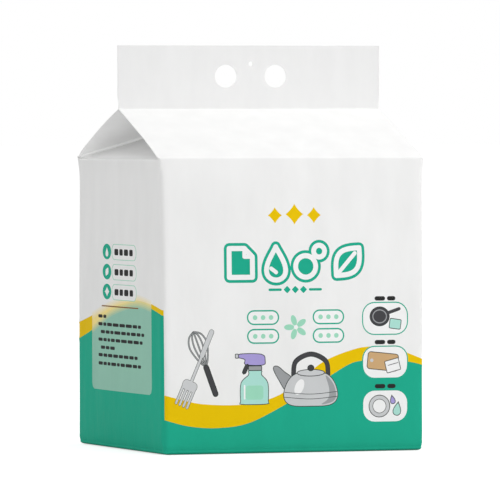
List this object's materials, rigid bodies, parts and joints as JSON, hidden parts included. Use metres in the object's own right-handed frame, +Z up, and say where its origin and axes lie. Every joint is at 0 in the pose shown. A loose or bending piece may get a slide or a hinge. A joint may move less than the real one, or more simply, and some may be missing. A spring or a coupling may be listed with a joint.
{
  "type": "pack of kitchen paper towels",
  "caption": "Sealed film bag of kitchen paper towels with a roof-shaped top, tucked gussets at both ends and a flat header with finger holes to carry it by.",
  "frame": {"origin": "middle of the base, on the surface that the pack stands on", "axes": "+Z up through the header, -Y out of the front panel, X along the ridge and the header"},
  "size_m": [0.2236, 0.2024, 0.3195],
  "materials": {
    "printed_film": "satin white polyethylene film with a printed green field and a yellow band at the bottom"
  },
  "bodies": {
    "root": {"towel_pack": "printed_film"}
  },
  "joints": []
}
